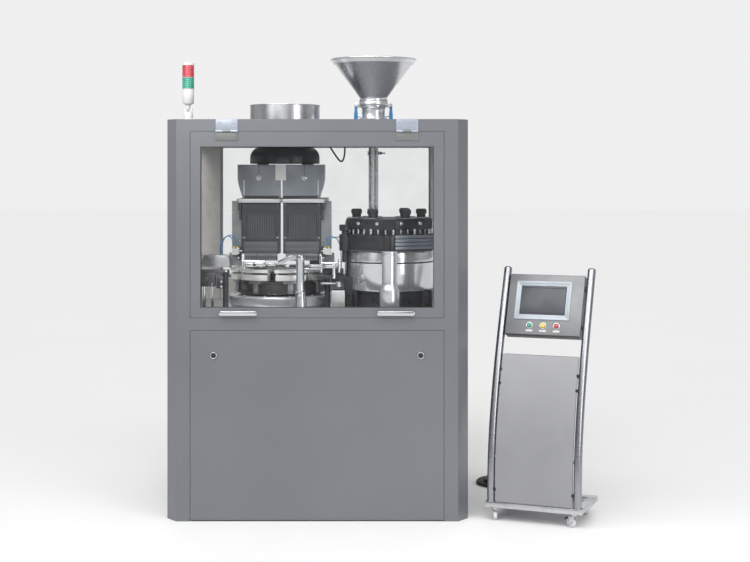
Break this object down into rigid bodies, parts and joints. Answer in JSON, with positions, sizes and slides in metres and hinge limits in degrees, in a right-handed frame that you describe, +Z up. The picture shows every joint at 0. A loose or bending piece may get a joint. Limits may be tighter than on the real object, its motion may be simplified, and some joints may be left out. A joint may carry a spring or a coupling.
{
  "type": "capsule filler",
  "caption": "Rotary capsule filling machine: windowed cabinet with turret, dosing station and powder funnel, plus a rolling touch-screen console.",
  "frame": {"origin": "on the floor under the middle of the cabinet, on the flat underside of the base frame", "axes": "+X to the operator's right along the front, +Y from the front to the back, +Z up"},
  "size_m": [2.0465, 1.3385, 2.204],
  "materials": {
    "grey_paint": "satin grey powder coat",
    "dark_paint": "dark grey paint",
    "polished_steel": "polished stainless steel",
    "brushed_steel": "brushed stainless steel",
    "dark_steel": "blackened steel",
    "aluminium": "satin anodised",
    "black_plastic": "black engineering plastic",
    "charcoal_plastic": "charcoal engineering plastic",
    "smoked_plastic": "smoked translucent plastic",
    "clear_glass": "clear toughened glass",
    "white_plastic": "white plastic",
    "blue_plastic": "blue moulded plastic",
    "green_lens": "green lamp plastic",
    "red_lens": "red lamp plastic",
    "yellow_lens": "yellow button plastic",
    "black_rubber": "black rubber"
  },
  "bodies": {
    "cabinet": {"base_frame": "dark_paint", "table_plate": "brushed_steel", "front_surround": "grey_paint", "rear_surround": "grey_paint", "roof_panel": "grey_paint", "side_panel_left": "grey_paint", "side_panel_right": "grey_paint", "signal_post": "white_plastic", "signal_lens_green": "green_lens", "signal_lens_red": "red_lens", "capsule_drum": "polished_steel", "drum_cover": "black_plastic", "powder_tube": "polished_steel", "funnel_clamp": "polished_steel", "powder_funnel": "polished_steel", "capsule_funnels": "smoked_plastic", "feeder_column": "brushed_steel", "turret_base": "polished_steel", "arm_post": "polished_steel", "discharge_chute": "brushed_steel", "dosing_base": "black_plastic", "dosing_bowl": "polished_steel", "dosing_cover_plate": "black_plastic", "front_pillar": "polished_steel", "gear_motor": "dark_paint"},
    "front_window": {"front_window_frame": "grey_paint", "front_window_pane": "clear_glass"},
    "rear_window": {"rear_window": "clear_glass"},
    "left_window": {"left_window": "clear_glass"},
    "right_window": {"right_window": "clear_glass"},
    "lower_panel": {"lower_front_panel": "grey_paint"},
    "lock_left": {"panel_lock_left": "brushed_steel"},
    "lock_right": {"panel_lock_right": "brushed_steel"},
    "turret": {"turret_drum": "dark_steel"},
    "dosing_disc": {"dosing_disc": "brushed_steel"},
    "cam_shaft": {"cam_shaft": "brushed_steel"},
    "magazines": {"magazine_left": "charcoal_plastic", "magazine_right": "charcoal_plastic"},
    "tamping_head": {"tamping_head": "black_plastic"},
    "clamp_lever_left": {"clamp_lever_left": "blue_plastic"},
    "clamp_lever_right": {"clamp_lever_right": "blue_plastic"},
    "console": {"console_frame": "brushed_steel", "console_panel": "brushed_steel", "screen_box": "grey_paint", "touch_screen": "aluminium", "cable_gland": "black_plastic", "cable": "black_rubber", "cable_coil": "black_rubber", "cable_connector": "black_plastic"},
    "button_green": {"button_green": "green_lens"},
    "button_yellow": {"button_yellow": "yellow_lens"},
    "button_red": {"button_red": "red_lens"},
    "caster_front_left": {"caster_front_left": "brushed_steel"},
    "wheel_front_left": {"wheel_front_left": "black_rubber"},
    "caster_front_right": {"caster_front_right": "brushed_steel"},
    "wheel_front_right": {"wheel_front_right": "black_rubber"},
    "caster_rear_left": {"caster_rear_left": "brushed_steel"},
    "wheel_rear_left": {"wheel_rear_left": "black_rubber"},
    "caster_rear_right": {"caster_rear_right": "brushed_steel"},
    "wheel_rear_right": {"wheel_rear_right": "black_rubber"}
  },
  "joints": [
    {"name": "front_window_lift", "type": "hinge", "parent": "cabinet", "child": "front_window", "pos_m": [0, -0.596, 1.8265], "axis": [-1, 0, 0], "range_deg": [0, 95]},
    {"name": "rear_window_lift", "type": "hinge", "parent": "cabinet", "child": "rear_window", "pos_m": [0, 0.59, 1.802], "axis": [1, 0, 0], "range_deg": [0, 95]},
    {"name": "left_window_pull", "type": "slide", "parent": "cabinet", "child": "left_window", "axis": [-1, 0, 0], "range_m": [0, 0.1]},
    {"name": "right_window_pull", "type": "slide", "parent": "cabinet", "child": "right_window", "axis": [1, 0, 0], "range_m": [0, 0.1]},
    {"name": "lower_panel_pull", "type": "slide", "parent": "cabinet", "child": "lower_panel", "axis": [0, -1, 0], "range_m": [0, 0.25]},
    {"name": "lock_turn_left", "type": "hinge", "parent": "lower_panel", "child": "lock_left", "pos_m": [-0.485, -0.59, 0.777], "axis": [0, -1, 0], "range_deg": [0, 90]},
    {"name": "lock_turn_right", "type": "hinge", "parent": "lower_panel", "child": "lock_right", "pos_m": [0.485, -0.59, 0.777], "axis": [0, -1, 0], "range_deg": [0, 90]},
    {"name": "turret_turn", "type": "hinge", "parent": "cabinet", "child": "turret", "pos_m": [-0.1985, -0.17, 1.1], "axis": [0, 0, 1], "continuous": true},
    {"name": "dosing_disc_turn", "type": "hinge", "parent": "cabinet", "child": "dosing_disc", "pos_m": [0.34, -0.2, 1.13], "axis": [0, 0, 1], "continuous": true},
    {"name": "cam_shaft_turn", "type": "hinge", "parent": "cabinet", "child": "cam_shaft", "pos_m": [0, -0.05, 0.55], "axis": [1, 0, 0], "continuous": true},
    {"name": "magazine_drop", "type": "slide", "parent": "cabinet", "child": "magazines", "axis": [0, 0, 1], "range_m": [-0.028, 0]},
    {"name": "tamping_head_lift", "type": "slide", "parent": "cabinet", "child": "tamping_head", "axis": [0, 0, 1], "range_m": [0, 0.02]},
    {"name": "clamp_lever_left_open", "type": "hinge", "parent": "cabinet", "child": "clamp_lever_left", "pos_m": [0.175, -0.09, 1.97], "axis": [0, 1, 0], "range_deg": [0, 80]},
    {"name": "clamp_lever_right_open", "type": "hinge", "parent": "cabinet", "child": "clamp_lever_right", "pos_m": [0.351, -0.09, 1.97], "axis": [0, -1, 0], "range_deg": [0, 80]},
    {"name": "console_roll", "type": "slide", "parent": "cabinet", "child": "console", "axis": [1, 0, 0], "range_m": [0, 0.5]},
    {"name": "button_green_press", "type": "slide", "parent": "console", "child": "button_green", "axis": [0.3488, 0.8633, -0.3647], "range_m": [0, 0.004], "stiffness_N_per_m": 400, "springref_m": -0.001},
    {"name": "button_yellow_press", "type": "slide", "parent": "console", "child": "button_yellow", "axis": [0.3488, 0.8633, -0.3647], "range_m": [0, 0.004], "stiffness_N_per_m": 400, "springref_m": -0.001},
    {"name": "button_red_press", "type": "slide", "parent": "console", "child": "button_red", "axis": [0.3488, 0.8633, -0.3647], "range_m": [0, 0.004], "stiffness_N_per_m": 400, "springref_m": -0.001},
    {"name": "caster_front_left_swivel", "type": "hinge", "parent": "console", "child": "caster_front_left", "pos_m": [0.83469, -0.57257, 0.055], "axis": [0, 0, 1], "continuous": true},
    {"name": "wheel_front_left_spin", "type": "hinge", "parent": "caster_front_left", "child": "wheel_front_left", "pos_m": [0.83525, -0.55658, 0.024], "axis": [0.9994, -0.0349, 0], "continuous": true},
    {"name": "caster_front_right_swivel", "type": "hinge", "parent": "console", "child": "caster_front_right", "pos_m": [1.18331, -0.71343, 0.055], "axis": [0, 0, 1], "continuous": true},
    {"name": "wheel_front_right_spin", "type": "hinge", "parent": "caster_front_right", "child": "wheel_front_right", "pos_m": [1.1746, -0.70001, 0.024], "axis": [0.8387, 0.5446, 0], "continuous": true},
    {"name": "caster_rear_left_swivel", "type": "hinge", "parent": "console", "child": "caster_rear_left", "pos_m": [0.93583, -0.32223, 0.055], "axis": [0, 0, 1], "continuous": true},
    {"name": "wheel_rear_left_spin", "type": "hinge", "parent": "caster_rear_left", "child": "wheel_rear_left", "pos_m": [0.94925, -0.31352, 0.024], "axis": [0.5446, -0.8387, 0], "continuous": true},
    {"name": "caster_rear_right_swivel", "type": "hinge", "parent": "console", "child": "caster_rear_right", "pos_m": [1.28445, -0.46309, 0.055], "axis": [0, 0, 1], "continuous": true},
    {"name": "wheel_rear_right_spin", "type": "hinge", "parent": "caster_rear_right", "child": "wheel_rear_right", "pos_m": [1.27951, -0.44787, 0.024], "axis": [0.9511, 0.309, 0], "continuous": true}
  ],
  "couplings": [
    {"joint": "dosing_disc_turn", "follows": "turret_turn", "ratio": 1.6667},
    {"joint": "cam_shaft_turn", "follows": "turret_turn", "ratio": 10}
  ]
}
